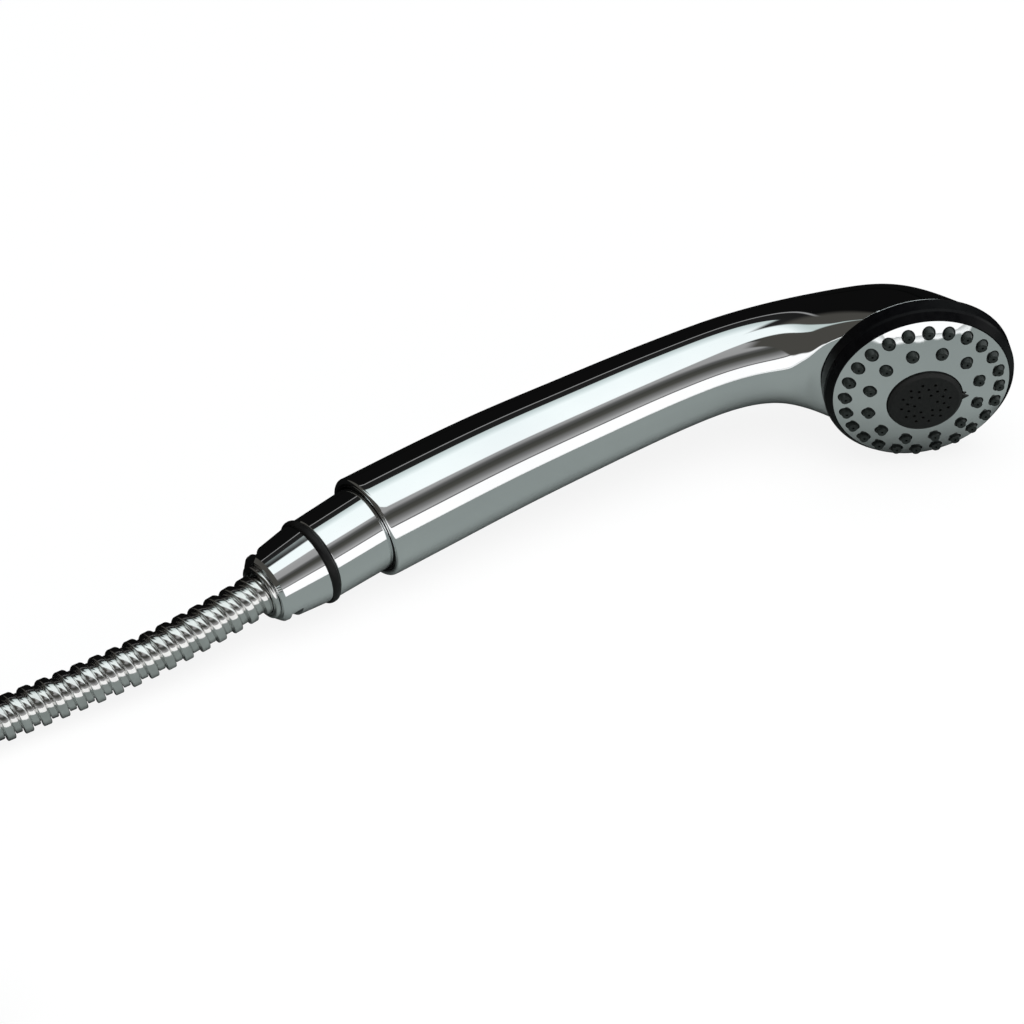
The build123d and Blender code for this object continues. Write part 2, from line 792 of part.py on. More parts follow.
# The far end carries a hexagon nut for the tap, on the coil.
end_rise = 7.2
end_point = Vector(
    coil_centre[0] + coil_radius * cos(radians(end_angle)),
    coil_centre[1] + coil_radius * sin(radians(end_angle)),
    coil_height + 2 * coil_layer + end_rise,
)
end_heading = Vector(-sin(radians(end_angle)), cos(radians(end_angle)), 0)
end_axis = Axis(end_point, end_heading)
end_section = Plane(origin=end_point, x_dir=end_heading, z_dir=(0, 0, 1))
end_sleeve_length = 15.0
end_nut_start = 10.0
end_nut_length = 15.0
end_nut_undercut = 9.7        # room for the tail's flange and the washer
hexagon_flats = 24.0
end_flange = 2.0
end_washer_thickness = 1.8

end_washer_start = end_sleeve_length + end_flange
end_thread_start = end_washer_start + end_washer_thickness

with BuildPart() as end_sleeve:
    with BuildSketch(end_section):
        sleeve(-4.0, end_sleeve_length, 8.4, 7.2)
        with Locations((-4.0, 8.2)):
            Circle(0.8)
    revolve(axis=end_axis)
end_sleeve.part.label = "end_sleeve"

with BuildPart() as end_tail:
    with BuildSketch(end_section):
        sleeve(0.5, end_sleeve_length, 6.6, 4.5)
        sleeve(end_sleeve_length, end_sleeve_length + end_flange, 9.0, 4.5)
    revolve(axis=end_axis)
end_tail.part.label = "end_tail"

with BuildPart() as end_nut:
    nut_plane = Plane(origin=end_point + end_heading * end_nut_start, x_dir=(0, 0, 1), z_dir=end_heading)
    with BuildSketch(nut_plane):
        RegularPolygon(hexagon_flats / 2, 6, major_radius=False, rotation=30)
    extrude(amount=end_nut_length)
    with BuildSketch(end_section):
        outline(
            (end_nut_start - 1, 0),
            (end_nut_start - 1, 8.4 + turning_clearance),
            (end_sleeve_length - 0.1, 8.4 + turning_clearance),
            (end_sleeve_length - 0.1, end_nut_undercut),
            (end_thread_start, end_nut_undercut),
            (end_thread_start, thread_core_radius),
            (end_nut_start + end_nut_length + 1, thread_core_radius),
            (end_nut_start + end_nut_length + 1, 0),
        )
    revolve(axis=end_axis, mode=Mode.SUBTRACT)
    chamfer(end_nut.edges().filter_by(GeomType.LINE, reverse=True).group_by(end_axis)[-1], 0.6)
end_nut.part.label = "end_nut"

with BuildPart() as end_washer:
    with BuildSketch(end_section):
        sleeve(end_washer_start, end_thread_start, 9.1, 5.5)
    revolve(axis=end_axis)
end_washer.part.label = "end_washer"

# ---- Export --------------------------------------------------------------------------------------------
os.makedirs("parts", exist_ok=True)
for piece in (
    handle_shell, inlet_body, water_tube, distribution_core, core_cover, cover_screws, cover_seal,
    face_seal, port_seals, click_spring, jet_disc, centre_screw, grip_ring, face_plate, nozzle_mat,
    swivel_collar, rim_seal, stem_o_rings, stem_circlip, valve_body, valve_poppet, valve_spring,
    flow_limiter, collar_ring, hose_nut, hose_washer, hose_tail, hose_sleeve, hose, hose_coil,
    hose_coil_top, coil_tie, end_sleeve, end_tail, end_nut, end_washer,
):
    export_step(piece.part, f"parts/{piece.part.label}.step")
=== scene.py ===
import json
import math

import bpy
import numpy as np
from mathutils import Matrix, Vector


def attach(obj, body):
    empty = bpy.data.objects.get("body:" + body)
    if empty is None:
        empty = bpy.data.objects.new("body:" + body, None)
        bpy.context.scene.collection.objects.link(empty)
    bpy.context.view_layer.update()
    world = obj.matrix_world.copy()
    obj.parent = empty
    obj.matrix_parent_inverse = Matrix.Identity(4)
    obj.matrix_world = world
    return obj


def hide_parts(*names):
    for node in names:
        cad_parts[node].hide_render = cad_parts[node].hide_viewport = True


# The looks of a handheld shower head with its metal hose. Everything is in metres, in the CAD model's frame:
# +X runs along the handle from the hose to the head, and the spray face looks to -Y.
MM = 0.001

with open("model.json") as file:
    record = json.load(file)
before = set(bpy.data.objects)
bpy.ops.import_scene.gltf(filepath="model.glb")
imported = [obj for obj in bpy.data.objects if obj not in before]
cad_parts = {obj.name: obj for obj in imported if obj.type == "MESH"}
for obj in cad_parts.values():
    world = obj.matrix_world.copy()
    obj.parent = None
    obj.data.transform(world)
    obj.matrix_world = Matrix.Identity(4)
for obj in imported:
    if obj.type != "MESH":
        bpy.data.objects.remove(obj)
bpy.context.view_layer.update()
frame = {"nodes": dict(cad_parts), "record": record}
nodes = frame["nodes"]

# ---- Driving dimensions, as in the CAD model ------------------------------------------------------------
SHELL_WALL = 2.2 * MM
RIM_CENTRE = Vector((-78.88, 36.16, 17.588)) * MM
REST_TILT = math.radians(4.6253)
HOSE_DIAMETER = 14.0 * MM

ALONG = Vector((math.cos(REST_TILT), 0, math.sin(REST_TILT)))
ACROSS = Vector((0, -1, 0))
UP = ALONG.cross(-ACROSS)


def place(along, across, up=0.0):
    """A point given by its place along the handle from its collar, across it, and above its middle plane."""
    return RIM_CENTRE + ALONG * along + ACROSS * across + UP * up


def heading(turn):
    """The direction turned from the handle's axis towards the face by an angle."""
    return ALONG * math.cos(turn) + ACROSS * math.sin(turn)


# ---- Material helpers -----------------------------------------------------------------------------------
class Nodes:
    """A short way to write a node tree: each call adds one node and links what it is given."""

    def __init__(self, tree):
        self.tree = tree
        tree.nodes.clear()

    def add(self, kind, inputs=(), **settings):
        node = self.tree.nodes.new(kind)
        for name, value in settings.items():
            setattr(node, name, value)
        for socket, value in dict(inputs).items():
            if isinstance(value, bpy.types.NodeSocket):
                self.tree.links.new(value, node.inputs[socket])
            else:
                node.inputs[socket].default_value = value
        return node

    def math(self, operation, *values):
        """One arithmetic node, which takes numbers and other nodes' outputs alike."""
        return self.add("ShaderNodeMath", enumerate(values), operation=operation).outputs[0]

    def step(self, value, low, high):
        """0 below low, 1 above high, and smooth between."""
        settings = {"Value": value, "From Min": low, "From Max": high}
        return self.add("ShaderNodeMapRange", settings, interpolation_type="SMOOTHSTEP").outputs[0]

    def step_down(self, value, low, high):
        """1 below low, 0 above high, and smooth between."""
        return self.step(self.math("MULTIPLY", value, -1), -high, -low)

    def all_of(self, *masks):
        """1 where every mask is 1."""
        product = masks[0]
        for mask in masks[1:]:
            product = self.math("MULTIPLY", product, mask)
        return product

    def ramp(self, value, stops):
        """A colour ramp: each stop is its position and a grey or a colour."""
        node = self.add("ShaderNodeValToRGB", {"Fac": value})
        elements = node.color_ramp.elements
        while len(elements) < len(stops):
            elements.new(0.5)
        for element, (position, colour) in zip(elements, stops):
            element.position = position
            element.color = (*colour, 1) if isinstance(colour, tuple) else (colour, colour, colour, 1)
        return node.outputs["Color"]

    def mix(self, factor, first, second):
        """The first colour where the factor is 0, and the second where it is 1."""
        inputs = {"Fac": factor, "Color1": first, "Color2": second}
        return self.add("ShaderNodeMixRGB", inputs).outputs["Color"]

    def noise(self, coordinates, scale, detail=3.0):
        """Fractal noise, around 0.5, with its scale per metre."""
        settings = {"Vector": coordinates, "Scale": scale, "Detail": detail}
        return self.add("ShaderNodeTexNoise", settings).outputs["Fac"]


# Nearly all of the noise lies between these two values.
NOISE_LOW = 0.3
NOISE_HIGH = 0.7


def surface(name, dark, light, roughness, grain, bump, metallic=0.0, colour_grain=None, **sockets):
    """A material whose colour, roughness and height all vary over the surface.

    dark and light are the limits of its colour, and roughness is a pair of limits. grain is the fine noise's
    scale per metre and bump its height in metres. The colour and the roughness follow a broader noise, of
    scale colour_grain. Other sockets of the shader are set by their names.
    """
    material = bpy.data.materials.new(name)
    material.use_nodes = True
    tree = Nodes(material.node_tree)
    place_in_object = tree.add("ShaderNodeTexCoord").outputs["Object"]
    fine = tree.noise(place_in_object, grain)
    broad = tree.noise(place_in_object, colour_grain or grain / 6, detail=4)
    colour = tree.ramp(broad, [(NOISE_LOW, dark), (NOISE_HIGH, light)])
    limits = {"From Min": NOISE_LOW, "From Max": NOISE_HIGH, "To Min": roughness[0], "To Max": roughness[1]}
    rough = tree.add("ShaderNodeMapRange", {"Value": broad, **limits}).outputs[0]
    height = tree.add("ShaderNodeBump", {"Height": fine, "Strength": 1.0, "Distance": bump}).outputs[0]
    shader = tree.add(
        "ShaderNodeBsdfPrincipled",
        {"Base Color": colour, "Roughness": rough, "Metallic": metallic, "Normal": height},
    )
    for socket, value in sockets.items():
        shader.inputs[socket.replace("_", " ")].default_value = value
    tree.add("ShaderNodeOutputMaterial", {"Surface": shader.outputs[0]})
    return material


# ---- Materials ------------------------------------------------------------------------------------------
def chrome_material():
    """Bright plating over moulded plastic, with a very slight waviness and faint smears."""
    return surface(
        "chrome", (0.86, 0.87, 0.88), (0.93, 0.94, 0.94), (0.02, 0.055),
        grain=90, bump=0.000006, metallic=1.0, colour_grain=25,
    )


def hose_steel_material():
    """Polished stainless strip, a little drawn along its length."""
    return surface(
        "hose_steel", (0.7, 0.7, 0.69), (0.84, 0.84, 0.83), (0.08, 0.15),
        grain=700, bump=0.0000015, metallic=1.0, colour_grain=220,
    )


def spring_steel_material():
    """Plain stainless steel."""
    return surface(
        "spring_steel", (0.5, 0.5, 0.5), (0.62, 0.62, 0.62), (0.22, 0.36),
        grain=1800, bump=0.000003, metallic=1.0,
    )


def brass_material():
    """Turned brass."""
    return surface(
        "brass", (0.62, 0.43, 0.18), (0.75, 0.56, 0.27), (0.2, 0.34),
        grain=1400, bump=0.000004, metallic=1.0,
    )


def black_rubber_material():
    """Matte black rubber of the seals and rings."""
    return surface(
        "black_rubber", (0.003, 0.003, 0.003), (0.007, 0.007, 0.007), (0.36, 0.5),
        grain=2200, bump=0.000006, Specular_IOR_Level=0.25,
    )


def nozzle_rubber_material():
    """Dark grey-green silicone."""
    return surface(
        "nozzle_rubber", (0.011, 0.015, 0.014), (0.021, 0.026, 0.024), (0.36, 0.5),
        grain=1600, bump=0.00001, colour_grain=500,
    )


def grip_plastic_material():
    """Satin black moulded plastic."""
    return surface(
        "grip_plastic", (0.0015, 0.0015, 0.002), (0.003, 0.003, 0.0035), (0.26, 0.36),
        grain=2600, bump=0.000005, Specular_IOR_Level=0.1,
    )


def disc_plastic_material():
    """Charcoal plastic with a fine sparked texture."""
    return surface(
        "disc_plastic", (0.008, 0.008, 0.008), (0.014, 0.014, 0.0135), (0.42, 0.55),
        grain=3200, bump=0.000012, colour_grain=900, Specular_IOR_Level=0.3,
    )


def inner_plastic_material():
    """Natural acetal, which only the inner pieces are made of."""
    return surface(
        "inner_plastic", (0.66, 0.65, 0.6), (0.78, 0.77, 0.72), (0.35, 0.5),
        grain=900, bump=0.000008,
    )


def valve_plastic_material():
    """Moulded blue-grey plastic of the check valve."""
    return surface(
        "valve_plastic", (0.05, 0.12, 0.26), (0.09, 0.18, 0.34), (0.32, 0.45),
        grain=900, bump=0.000006,
    )


WEAVE_SCALE = 520             # of the wave texture, which makes a wave every 0.6 mm
WEAVE_HEIGHT = 0.15 * MM


def tie_material():
    """Woven strap: two sets of fine waves across each other."""
    material = bpy.data.materials.new("tie_weave")
    material.use_nodes = True
    tree = Nodes(material.node_tree)
    place_in_object = tree.add("ShaderNodeTexCoord").outputs["Object"]
    waves = [
        tree.add(
            "ShaderNodeTexWave", {"Vector": place_in_object, "Scale": WEAVE_SCALE, "Distortion": 0.6},
            bands_direction=direction,
        ).outputs["Fac"]
        for direction in ("Y", "Z")
    ]
    weave = tree.math("MULTIPLY", *waves)
    colour = tree.ramp(weave, [(0.0, 0.006), (1.0, 0.028)])
    height = tree.add("ShaderNodeBump", {"Height": weave, "Strength": 1.0, "Distance": WEAVE_HEIGHT})
    shader = tree.add(
        "ShaderNodeBsdfPrincipled",
        {"Base Color": colour, "Roughness": 0.8, "Normal": height.outputs[0]},
    )
    tree.add("ShaderNodeOutputMaterial", {"Surface": shader.outputs[0]})
    return material


MATERIALS = {
    "chrome": chrome_material(),
    "hose_steel": hose_steel_material(),
    "spring_steel": spring_steel_material(),
    "brass": brass_material(),
    "black_rubber": black_rubber_material(),
    "nozzle_rubber": nozzle_rubber_material(),
    "grip_plastic": grip_plastic_material(),
    "disc_plastic": disc_plastic_material(),
    "inner_plastic": inner_plastic_material(),
    "valve_plastic": valve_plastic_material(),
    "tie_plastic": tie_material(),
}

slot_of = {part["node"]: part["material_slot"] for part in frame["record"]["subparts"]}
for name, node in nodes.items():
    node.data.materials.clear()
    node.data.materials.append(MATERIALS[slot_of[name]])


# ---- Mesh helpers ---------------------------------------------------------------------------------------
def new_piece(name, vertices, faces, slot_name, body, replaced):
    """A smooth mesh piece with its material, on its body, standing for the CAD nodes it replaces."""
    mesh = bpy.data.meshes.new(name)
    mesh.from_pydata([tuple(v) for v in vertices], [], faces)
    mesh.polygons.foreach_set("use_smooth", [True] * len(mesh.polygons))
    mesh.materials.append(MATERIALS[slot_name])
    mesh.validate()
    piece = bpy.data.objects.new(name, mesh)
    bpy.context.scene.collection.objects.link(piece)
    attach(piece, body)
    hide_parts(*replaced)
    return piece


def ring_faces(rings, around, closed=False):
    """Quads between rings of points, each with the same number of points around."""
    faces = []
    last = rings if closed else rings - 1
    for ring in range(last):
        start = ring * around
        following = ((ring + 1) % rings) * around
        for i in range(around):
            j = (i + 1) % around
            faces.append((start + i, start + j, following + j, following + i))
    return faces


def smooth_values(knots, values, wanted):
    """Values between the knots on a natural cubic spline, one column at a time."""
    knots, values, wanted = (np.asarray(a, float) for a in (knots, values, wanted))
    gaps = np.diff(knots)
    count = len(knots)
    matrix = np.eye(count)
    right = np.zeros_like(values)
    for i in range(1, count - 1):
        matrix[i, i - 1:i + 2] = gaps[i - 1], 2 * (gaps[i - 1] + gaps[i]), gaps[i]
        slopes = (values[i + 1] - values[i]) / gaps[i] - (values[i] - values[i - 1]) / gaps[i - 1]
        right[i] = 6 * slopes
    bends = np.linalg.solve(matrix, right)
    span = np.clip(np.searchsorted(knots, wanted) - 1, 0, count - 2)
    gap = gaps[span][:, None]
    after = (wanted - knots[span])[:, None]
    before = gap - after
    cubic = (bends[span] * before**3 + bends[span + 1] * after**3) / (6 * gap)
    first = (values[span] / gap - bends[span] * gap / 6) * before
    second = (values[span + 1] / gap - bends[span + 1] * gap / 6) * after
    return cubic + first + second


# ---- Hose: its line, then the wound strip ---------------------------------------------------------------
HOSE_START = -40 * MM         # along the handle's axis, inside the conical nut
COIL_CENTRE = Vector((RIM_CENTRE.x - 275 * MM, RIM_CENTRE.y - 57 * MM, 0))
COIL_RADIUS = 70.0 * MM
COIL_HEIGHT = 7.7 * MM        # of the lowest turn's middle
COIL_LAYER = 14.2 * MM        # from turn to turn
COIL_START = math.radians(90)
COIL_END = math.radians(-28 + 3 * 360)
COIL_POINTS_PER_TURN = 24
# The hose's end lifts off the coil over its last stretch, to make room for the hexagon nut.
END_RISE = 7.2 * MM
END_RISE_RUN = 75 * MM
# The share of each turn at which the ramp to the next layer starts and ends.
RAMP_START = 0.72
RAMP_END = 0.89


def coil_point(angle):
    """A control point of the coil: level turns, with a ramp up to the next layer late in each."""
    turned = (angle - COIL_START) / (2 * math.pi)
    layer = math.floor(turned + 1e-9)
    climb = min(1.0, max(0.0, (turned - layer - RAMP_START) / (RAMP_END - RAMP_START)))
    to_end = (COIL_END - angle) * COIL_RADIUS
    rise = END_RISE * max(0.0, 1 - to_end / END_RISE_RUN)
    # The line runs a little inside its control points.
    radius = COIL_RADIUS / math.cos(math.pi / COIL_POINTS_PER_TURN) ** 0.5
    height = COIL_HEIGHT + COIL_LAYER * (layer + climb) + rise
    return COIL_CENTRE + Vector((radius * math.cos(angle), radius * math.sin(angle), height))


def from_rim(x, y, height):
    """A point by its distance from the rim's centre in plan, and its height, in millimetres."""
    return Vector((RIM_CENTRE.x + x * MM, RIM_CENTRE.y + y * MM, height * MM))


hose_points = [
    place(HOSE_START, 0),
    place(-62 * MM, 0),
    from_rim(-88, 2.4, 10.2),
    from_rim(-114, 7.0, 8.2),
    from_rim(-140, 11.6, 7.2),
    from_rim(-168, 13.6, 7.0),
    from_rim(-204, 14.0, 7.1),
    from_rim(-240, 13.4, 7.4),
]
coil_steps = round((COIL_END - COIL_START) / (2 * math.pi) * COIL_POINTS_PER_TURN)
for step in range(coil_steps + 1):
    hose_points.append(coil_point(COIL_START + (COIL_END - COIL_START) * step / coil_steps))


def spline_line(points):
    """Close points along a smooth NURBS line with these control points."""
    data = bpy.data.curves.new("hose_line", "CURVE")
    data.dimensions = "3D"
    spline = data.splines.new("NURBS")
    spline.points.add(len(points) - 1)
    for control, point in zip(spline.points, points):
        control.co = (*point, 1)
    spline.order_u = 3
    spline.use_endpoint_u = True
    spline.resolution_u = 24
    line = bpy.data.objects.new("hose_line", data)
    bpy.context.scene.collection.objects.link(line)
    mesh = bpy.data.meshes.new_from_object(line)
    path = [v.co.copy() for v in mesh.vertices]
    bpy.data.objects.remove(line)
    bpy.data.meshes.remove(mesh)
    return path


def evenly(path, spacing):
    """The same line with its points a fixed distance apart."""
    points = np.array(path)
    lengths = np.concatenate([[0], np.cumsum(np.linalg.norm(np.diff(points, axis=0), axis=1))])
    wanted = np.linspace(0, lengths[-1], round(lengths[-1] / spacing) + 1)
    return np.column_stack([np.interp(wanted, lengths, points[:, i]) for i in range(3)]), wanted


def carried_frames(points):
    """For each point, two directions across the line that turn as little as they can."""
    along = np.gradient(points, axis=0)
    along /= np.linalg.norm(along, axis=1)[:, None]
    side = np.cross(along[0], (0, 0, 1))
    sides = []
    for direction in along:
        side = side - direction * np.dot(side, direction)
        side /= np.linalg.norm(side)
        sides.append(side)
    sides = np.array(sides)
    return sides, np.cross(along, sides)


STRIP_PITCH = 6.0 * MM
STRIP_AROUND = 40             # columns to a turn
LINE_SPACING = 1 * MM
# The strip's profile over one pitch: share of the pitch, and radius in millimetres. A wide hoop comes
# first, then a lower one.
STRIP_PROFILE = [
    (0.00, 5.0), (0.02, 6.5), (0.045, 6.84), (0.09, 7.0), (0.27, 7.0), (0.45, 7.0), (0.495, 6.84),
    (0.52, 6.5), (0.54, 5.0), (0.57, 5.0), (0.59, 5.7), (0.63, 5.86), (0.92, 5.86), (0.96, 5.7), (0.98, 5.0),
]


def wound_hose(path):
    """The hose's wound strip: one long screw surface whose edges follow the strip's."""
    points, lengths = evenly(path, LINE_SPACING)
    sides, ups = carried_frames(points)
    turns = math.ceil(lengths[-1] / STRIP_PITCH) + 1
    columns = np.arange(turns * STRIP_AROUND)
    # The screw starts one pitch before the line and ends past it; both ends are cut off flat.
    starts = (columns / STRIP_AROUND - 1) * STRIP_PITCH
    angles = 2 * math.pi * columns / STRIP_AROUND
    rows = []
    for share, radius in STRIP_PROFILE:
        wanted = np.clip(starts + share * STRIP_PITCH, 0, lengths[-1])
        centre, side, up = (
            np.column_stack([np.interp(wanted, lengths, values[:, axis]) for axis in range(3)])
            for values in (points, sides, ups)
        )
        outwards = np.cos(angles)[:, None] * side + np.sin(angles)[:, None] * up
        rows.append(centre + radius * MM * outwards)
    vertices = np.stack(rows, axis=1).reshape(-1, 3)

    def index(column, row):
        """The vertex at a column and row; past the last row comes the next turn's first one."""
        turn, row = divmod(row, len(rows))
        return int((column + turn * STRIP_AROUND) * len(rows) + row)

    last = len(columns) - STRIP_AROUND - 1
    faces = []
    for column in range(last):
        following = column + 1
        for row in range(len(rows)):
            corners = ((column, row), (column, row + 1), (following, row + 1), (following, row))
            faces.append(tuple(index(*corner) for corner in corners))
    first_cap = [index(column, 0) for column in range(STRIP_AROUND)]
    first_cap += [index(0, row) for row in range(len(rows), 0, -1)]
    last_cap = [index(last, row) for row in range(len(rows))]
    last_cap += [index(last + column, 0) for column in range(STRIP_AROUND, 0, -1)]
    faces += [first_cap, last_cap]
    replaced = ("hose", "hose_coil", "hose_coil_top")
    return new_piece("wound_hose", vertices, faces, "hose_steel", "handset", replaced)


hose_path = spline_line(hose_points)
hose = wound_hose(hose_path)


# ---- Tie round the coil ---------------------------------------------------------------------------------
TIE_WIDTH = 12 * MM
TIE_SKIN = 0.7 * MM
TIE_GAP = 0.02 * MM           # between the strap and the turns
TIE_EDGE = 0.25 * MM          # chamfer along the strap's edges
TIE_ARC_POINTS = 16


def stadium(radius, low, high):
    """Points round three stacked turns: radius across, between the centres of the lowest and highest."""
    points = []
    for middle, start in ((high, 0.0), (low, math.pi)):
        for i in range(TIE_ARC_POINTS + 1):
            angle = start + math.pi * i / TIE_ARC_POINTS
            points.append((radius * math.cos(angle), middle + radius * math.sin(angle)))
    return points


def coil_tie():
    """A woven strap round the three turns, with rounded edges."""
    low, high = COIL_HEIGHT, COIL_HEIGHT + 2 * COIL_LAYER
    inner = HOSE_DIAMETER / 2 + TIE_GAP
    outer = inner + TIE_SKIN - TIE_GAP
    half = TIE_WIDTH / 2
    edge = TIE_EDGE
    # The strap's own section: place across its width, and radius.
    section = [
        (-half, inner + edge), (-half + edge, inner), (half - edge, inner), (half, inner + edge),
        (half, outer - edge), (half - edge, outer), (-half + edge, outer), (-half, outer - edge),
    ]
    centre_x = COIL_CENTRE.x - COIL_RADIUS
    outlines = [stadium(radius, low, high) for _, radius in section]
    vertices = []
    for i in range(len(outlines[0])):
        for (width, _), line in zip(section, outlines):
            across, height = line[i]
            vertices.append((centre_x + across, COIL_CENTRE.y + width, height))
    faces = ring_faces(len(outlines[0]), len(section), closed=True)
    return new_piece("coil_strap", vertices, faces, "tie_plastic", "handset", ("coil_tie",))


tie = coil_tie()

# ---- Handle shell ---------------------------------------------------------------------------------------
# Along, across, turn in degrees and radius, as in the CAD model.
SHELL_STATIONS = [
    (-1.8, 0.0, 1, 17.5),
    (25, 2.5, 5, 17.35),
    (50, 5.3, 8, 16.95),
    (75, 9.1, 9, 16.3),
    (100, 13.2, 11, 15.75),
    (120, 17.2, 14, 15.4),
    (135.9, 21.7, 20, 15.6),
    (150.7, 29.2, 40, 17.2),
    (159.7, 35.6, 65, 20.0),
    (170.6, 46.6, 90, 25.4),
    (174.6, 58.2, 112, 28.6),
    (176.26, 65.54, 122, 30.6),
]
SHELL_RINGS = 260
SHELL_AROUND = 144
LIP_CLEARANCE = 3             # rings left out beside the rim's lip
SMOOTHING_PASSES = 90
LIP_POINTS = 12
EDGE_ROUND = 0.5 * MM


def shell_section(values):
    """The centre, plane directions and radius of one section."""
    along, across, turn, radius = (float(value) for value in values)
    turn = math.radians(turn)
    return place(along * MM, across * MM), heading(turn), heading(turn + math.pi / 2), radius * MM


def evened_out(rings):
    """The same rings with every bump between neighbours smoothed away; the first and last stay put."""
    points = np.array(rings)
    for _ in range(SMOOTHING_PASSES):
        points[1:-1] = (points[:-2] + 2 * points[1:-1] + points[2:]) / 4
    return list(points)


def handle_shell():
    """The plated shell: its outside, a rounded lip at the rim, a thin edge at the head, and its hollow."""
    stations = np.array(SHELL_STATIONS)
    knots = np.concatenate([[0], np.cumsum(np.linalg.norm(np.diff(stations[:, :2], axis=0), axis=1))])
    wanted = np.linspace(0, knots[-1], SHELL_RINGS)
    sections = [shell_section(v) for v in smooth_values(knots, stations, wanted)]
    rings = []

    def add_ring(section, radius, shift=0.0):
        centre, forward, sideways, _ = section
        ring = []
        for i in range(SHELL_AROUND):
            angle = 2 * math.pi * i / SHELL_AROUND
            outwards = math.cos(angle) * sideways + math.sin(angle) * UP
            ring.append(centre + forward * shift + radius * outwards)
        rings.append(ring)

    def add_lip(section, inner, outer, facing):
        """Half a circle from the inner radius to the outer one; facing is 1 or -1 along the shell."""
        middle = (inner + outer) / 2
        half = (outer - inner) / 2
        for i in range(LIP_POINTS + 1):
            angle = math.pi * i / LIP_POINTS
            height = abs(half) * (math.sin(angle) - 1)
            add_ring(section, middle - half * math.cos(angle), facing * height)

    first, last = sections[0], sections[-1]
    for section in reversed(sections[LIP_CLEARANCE:-1]):
        add_ring(section, section[3] - SHELL_WALL)
    add_lip(first, first[3] - SHELL_WALL, first[3], -1)
    outside = len(rings)
    for section in sections[LIP_CLEARANCE:-1]:
        add_ring(section, section[3])
    rings[outside:] = evened_out(rings[outside:])
    add_lip(last, last[3], last[3] - 2 * EDGE_ROUND, 1)
    vertices = [vertex for ring in rings for vertex in ring]
    faces = ring_faces(len(rings), SHELL_AROUND, closed=True)
    return new_piece("chrome_shell", vertices, faces, "chrome", "handset", ("handle_shell",))


handle_shell()


# ---- Black rings at the collar --------------------------------------------------------------------------
# Closed half sections about the handle's axis: place along and radius, in millimetres.
RIM_SEAL_SECTION = [
    (0.8, 14.6), (-1.2, 14.6), (-1.45, 14.75), (-1.55, 15.1), (-1.4, 15.5), (-1.0, 15.35), (-0.6, 15.25),
    (0.8, 15.15),
]
COLLAR_RING_SECTION = [
    (-22.2, 10.6), (-25.2, 10.6), (-25.2, 13.7), (-25.0, 14.2), (-24.6, 14.55), (-24.1, 14.7), (-23.3, 14.7),
    (-22.8, 14.55), (-22.4, 14.2), (-22.2, 13.7),
]
TURNED_AROUND = 96


def turned_ring(name, section, body, replaced):
    """A black rubber ring about the handle's axis."""
    vertices = []
    for along, radius in section:
        for i in range(TURNED_AROUND):
            angle = 2 * math.pi * i / TURNED_AROUND
            across, up = radius * MM * math.cos(angle), radius * MM * math.sin(angle)
            vertices.append(place(along * MM, across, up))
    faces = ring_faces(len(section), TURNED_AROUND, closed=True)
    return new_piece(name, vertices, faces, "black_rubber", body, (replaced,))


turned_ring("seal_lip", RIM_SEAL_SECTION, "handset", "rim_seal")
turned_ring("collar_bead", COLLAR_RING_SECTION, "collar", "collar_ring")


# ---- Floor, light and camera ----------------------------------------------------------------------------
# The floor's colours. Black, the mid grey and white also paint the light and shade that only its reflections
# show.
PAINTED_SHADE_BLACK = (0.004, 0.004, 0.004, 1)
WHITE = (1, 1, 1, 1)
FLOOR_GREY = (0.235, 0.262, 0.255, 1)
FLOOR_SEEN = (0.93, 0.93, 0.93, 1)
FLOOR_GLOW = 0.88             # how much of the floor's white is its own
FLOOR_HALF = 5.0


def studio_floor():
    """A pale floor. In reflections it shows painted light and shade: mid grey near the object, white far in
    front and black behind.
    """
    corners = [(x * FLOOR_HALF, y * FLOOR_HALF, 0) for x, y in ((-1, -1), (1, -1), (1, 1), (-1, 1))]
    mesh = bpy.data.meshes.new("floor")
    mesh.from_pydata(corners, [], [(0, 1, 2, 3)])
    material = bpy.data.materials.new("floor")
    material.use_nodes = True
    tree = Nodes(material.node_tree)
    places = tree.add("ShaderNodeSeparateXYZ", {"Vector": tree.add("ShaderNodeTexCoord").outputs["Object"]})
    x, y = places.outputs["X"], places.outputs["Y"]
    front = tree.math("ADD", tree.math("MULTIPLY", x, -0.7), tree.math("MULTIPLY", y, -0.71))
    # Painted light for the chrome to mirror: a white zone far in front of the object, over mid grey nearer
    # it.
    bright_zone_mix = tree.mix(tree.step(front, 0.5, 0.75), FLOOR_GREY, WHITE)
    # Painted shade for the chrome to mirror: black patches behind the handle and beside the head.
    painted_shade_behind_handle = tree.step(y, 0.032, 0.05)
    painted_shade_beside_head = tree.all_of(tree.step(x, 0.115, 0.13), tree.step(y, -0.07, -0.05))
    mirrored = tree.mix(tree.math("MAXIMUM", painted_shade_behind_handle, painted_shade_beside_head), bright_zone_mix, PAINTED_SHADE_BLACK)
    # Reflections see the painted light and shade; the camera sees the plain floor below.
    direct = tree.add("ShaderNodeLightPath").outputs["Is Camera Ray"]
    matte = tree.add("ShaderNodeBsdfDiffuse", {"Color": mirrored})
    # Seen directly it glows white, with a trace of the object's shadow.
    shadowed = tree.add("ShaderNodeBsdfDiffuse", {"Color": FLOOR_SEEN})
    glow = tree.add("ShaderNodeEmission", {"Color": WHITE, "Strength": 1.0})
    seen = tree.add("ShaderNodeMixShader", {0: FLOOR_GLOW, 1: shadowed.outputs[0], 2: glow.outputs[0]})
    shader = tree.add("ShaderNodeMixShader", {0: direct, 1: matte.outputs[0], 2: seen.outputs[0]})
    tree.add("ShaderNodeOutputMaterial", {"Surface": shader.outputs[0]})
    mesh.materials.append(material)
    floor = bpy.data.objects.new("floor", mesh)
    bpy.context.scene.collection.objects.link(floor)


